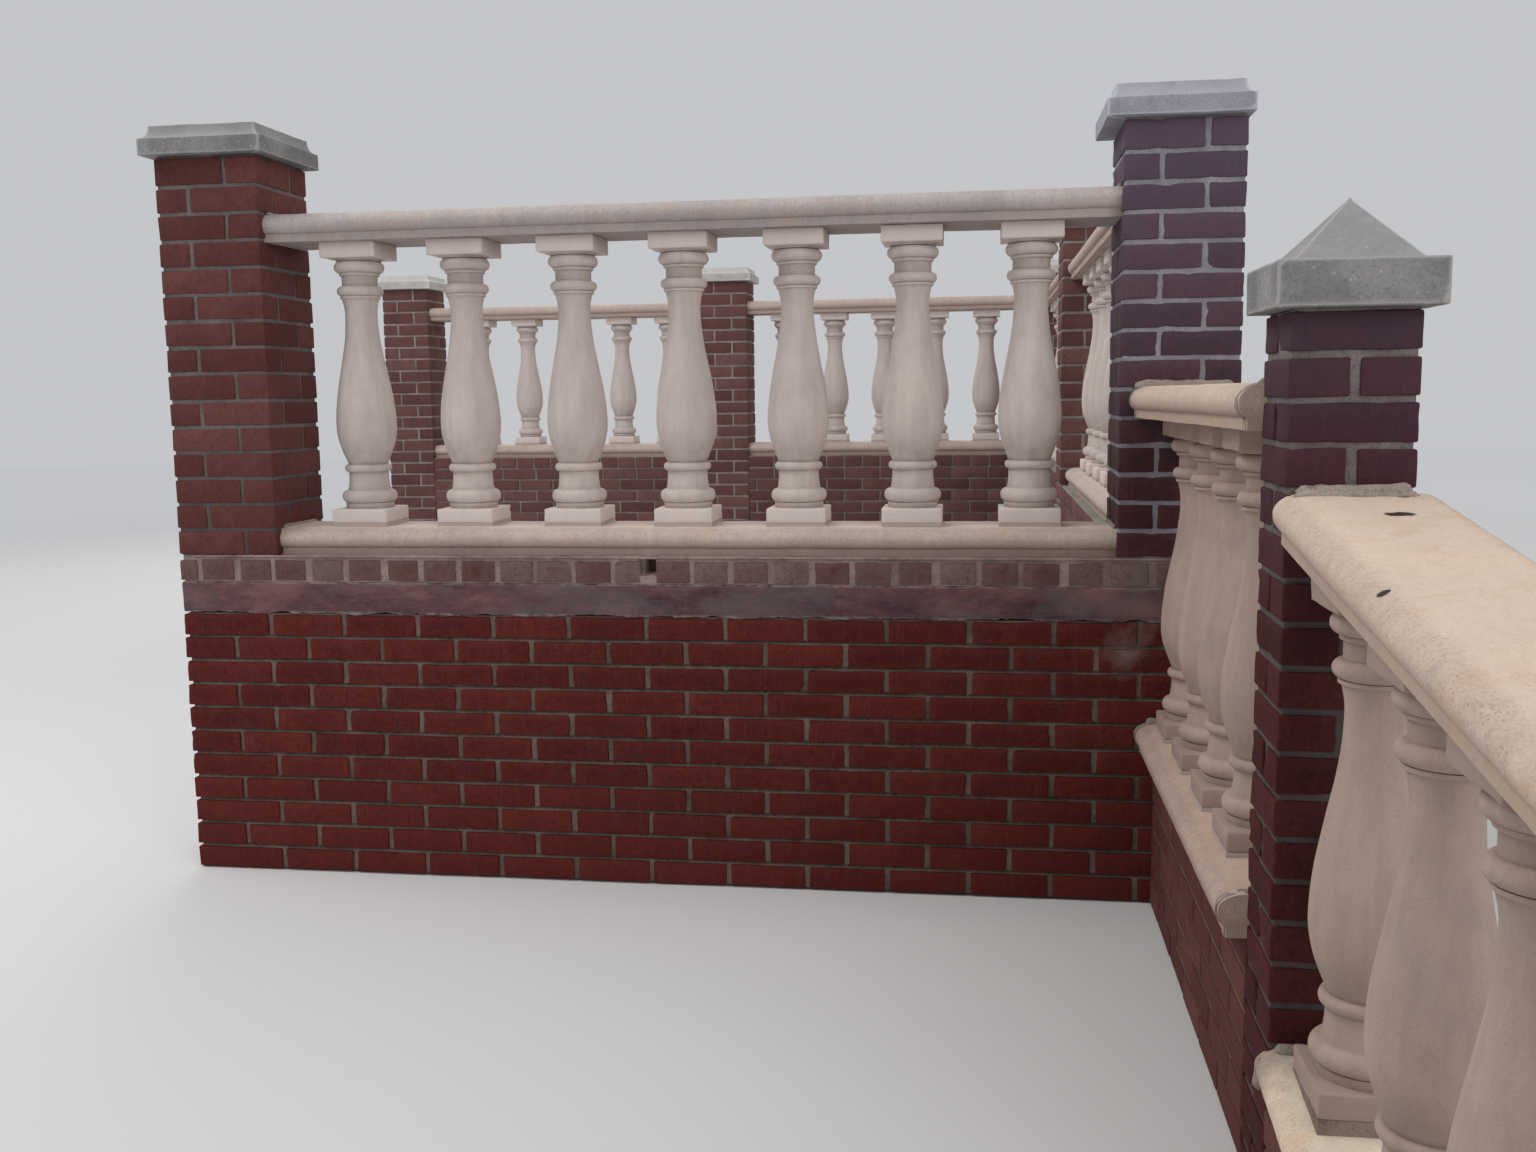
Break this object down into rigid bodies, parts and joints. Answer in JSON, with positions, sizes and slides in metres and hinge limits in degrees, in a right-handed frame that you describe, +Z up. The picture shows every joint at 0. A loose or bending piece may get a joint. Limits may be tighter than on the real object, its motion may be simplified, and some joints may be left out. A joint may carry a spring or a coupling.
{
  "type": "stone balustrade",
  "caption": "Cast stone balustrade of turned balusters and nosed rails on brick walls, with capped brick piers, a raised level run round a terrace and a raking bay beside steps.",
  "frame": {"origin": "middle of the front wall's foot, at the lowest ground", "axes": "+X to the right along the front bay, +Y towards the back, +Z up"},
  "size_m": [4.3415, 7.906, 2.072],
  "materials": {
    "brickwork": "rough red brick laid in grey-brown mortar",
    "render_band": "smooth weathered purple-brown render",
    "header_bricks": "weathered brown brick ends",
    "cast_stone": "pale cream cast stone with fine pits and faint streaks",
    "cap_stone": "grey-beige concrete with small pebbles and lighter edges",
    "mortar": "rough grey-brown mortar"
  },
  "bodies": {
    "root": {"front_wall": "brickwork", "front_band": "render_band", "front_header_course": "header_bricks", "front_bottom_rail": "cast_stone", "front_baluster_1": "cast_stone", "front_baluster_2": "cast_stone", "front_baluster_3": "cast_stone", "front_baluster_4": "cast_stone", "front_baluster_5": "cast_stone", "front_baluster_6": "cast_stone", "front_baluster_7": "cast_stone", "front_top_rail": "cast_stone", "lower_side_kerb": "brickwork", "lower_side_bottom_rail": "cast_stone", "lower_side_balusters": "cast_stone", "lower_side_top_rail": "cast_stone", "raking_kerb": "brickwork", "raking_bottom_rail": "cast_stone", "mortar_beds": "mortar", "raking_balusters": "cast_stone", "raking_top_rail": "cast_stone", "upper_side_walls": "brickwork", "upper_side_bottom_rails": "cast_stone", "upper_side_balusters": "cast_stone", "upper_side_top_rails": "cast_stone", "rear_walls": "brickwork", "rear_bottom_rails": "cast_stone", "rear_balusters": "cast_stone", "rear_top_rails": "cast_stone", "left_pier": "brickwork", "left_pier_cap": "cap_stone", "corner_pier": "brickwork", "corner_pier_cap": "cap_stone", "step_pier": "brickwork", "step_pier_cap": "cap_stone", "end_pier": "brickwork", "end_pier_cap": "cap_stone", "upper_side_pier": "brickwork", "upper_side_pier_cap": "cap_stone", "back_corner_pier": "brickwork", "back_corner_pier_cap": "cap_stone", "rear_middle_pier": "brickwork", "rear_middle_pier_cap": "cap_stone", "rear_end_pier": "brickwork", "rear_end_pier_cap": "cap_stone"}
  },
  "joints": []
}
